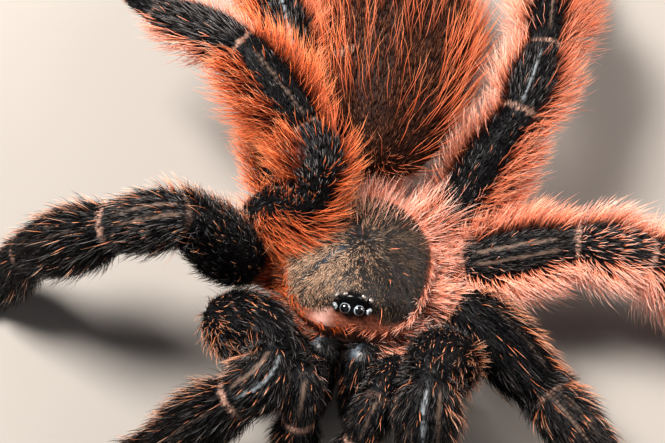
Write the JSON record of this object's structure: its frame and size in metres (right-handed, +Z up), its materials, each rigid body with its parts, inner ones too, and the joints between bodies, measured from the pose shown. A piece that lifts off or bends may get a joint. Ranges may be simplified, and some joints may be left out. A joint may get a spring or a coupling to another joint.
{
  "type": "tarantula",
  "caption": "Life-size still tarantula standing on a flat floor, black velvet legs with orange-red fringes, a hind leg drawn over its back.",
  "frame": {"origin": "middle of the animal's footprint box, on the floor", "axes": "+Z up, -Y the way the head points, +X the animal's left"},
  "size_m": [0.1154, 0.1164, 0.0281],
  "materials": {
    "shield_coat": "short grey-brown and golden hair over a dark shield",
    "abdomen_coat": "dark velvet under long orange-red hair",
    "velvet_coat": "black velvet hair with small orange bristles",
    "fringe_coat": "black velvet hair with long orange-red fringes",
    "fang_horn": "polished black horn",
    "eye": "wet glossy black"
  },
  "bodies": {
    "root": {"eye_front_middle_left": "eye", "eye_front_side_left": "eye", "eye_rear_side_left": "eye", "eye_rear_middle_left": "eye", "eye_front_middle_right": "eye", "eye_front_side_right": "eye", "eye_rear_side_right": "eye", "eye_rear_middle_right": "eye", "carapace": "shield_coat", "abdomen": "abdomen_coat", "underbody": "velvet_coat", "chelicera_left": "velvet_coat", "fang_left": "fang_horn", "spinneret_left": "abdomen_coat", "chelicera_right": "velvet_coat", "fang_right": "fang_horn", "spinneret_right": "abdomen_coat", "leg_1_left_femur": "velvet_coat", "leg_1_left_patella": "velvet_coat", "leg_1_left_tibia": "velvet_coat", "leg_1_left_foot": "velvet_coat", "leg_1_right_femur": "velvet_coat", "leg_1_right_patella": "velvet_coat", "leg_1_right_tibia": "velvet_coat", "leg_1_right_foot": "velvet_coat", "leg_2_left_femur": "velvet_coat", "leg_2_left_patella": "velvet_coat", "leg_2_left_tibia": "velvet_coat", "leg_2_left_foot": "velvet_coat", "leg_2_right_femur": "velvet_coat", "leg_2_right_patella": "velvet_coat", "leg_2_right_tibia": "velvet_coat", "leg_2_right_foot": "velvet_coat", "leg_3_left_femur": "fringe_coat", "leg_3_left_patella": "fringe_coat", "leg_3_left_tibia": "fringe_coat", "leg_3_left_foot": "fringe_coat", "leg_3_right_femur": "fringe_coat", "leg_3_right_patella": "fringe_coat", "leg_3_right_tibia": "fringe_coat", "leg_3_right_foot": "fringe_coat", "leg_4_left_femur": "fringe_coat", "leg_4_left_patella": "fringe_coat", "leg_4_left_tibia": "fringe_coat", "leg_4_left_foot": "fringe_coat", "leg_4_right_femur": "fringe_coat", "leg_4_right_patella": "fringe_coat", "leg_4_right_tibia": "fringe_coat", "leg_4_right_foot": "fringe_coat", "palp_left_femur": "velvet_coat", "palp_left_patella": "velvet_coat", "palp_left_tibia": "velvet_coat", "palp_left_tarsus": "velvet_coat", "palp_right_femur": "velvet_coat", "palp_right_patella": "velvet_coat", "palp_right_tibia": "velvet_coat", "palp_right_tarsus": "velvet_coat"}
  },
  "joints": []
}
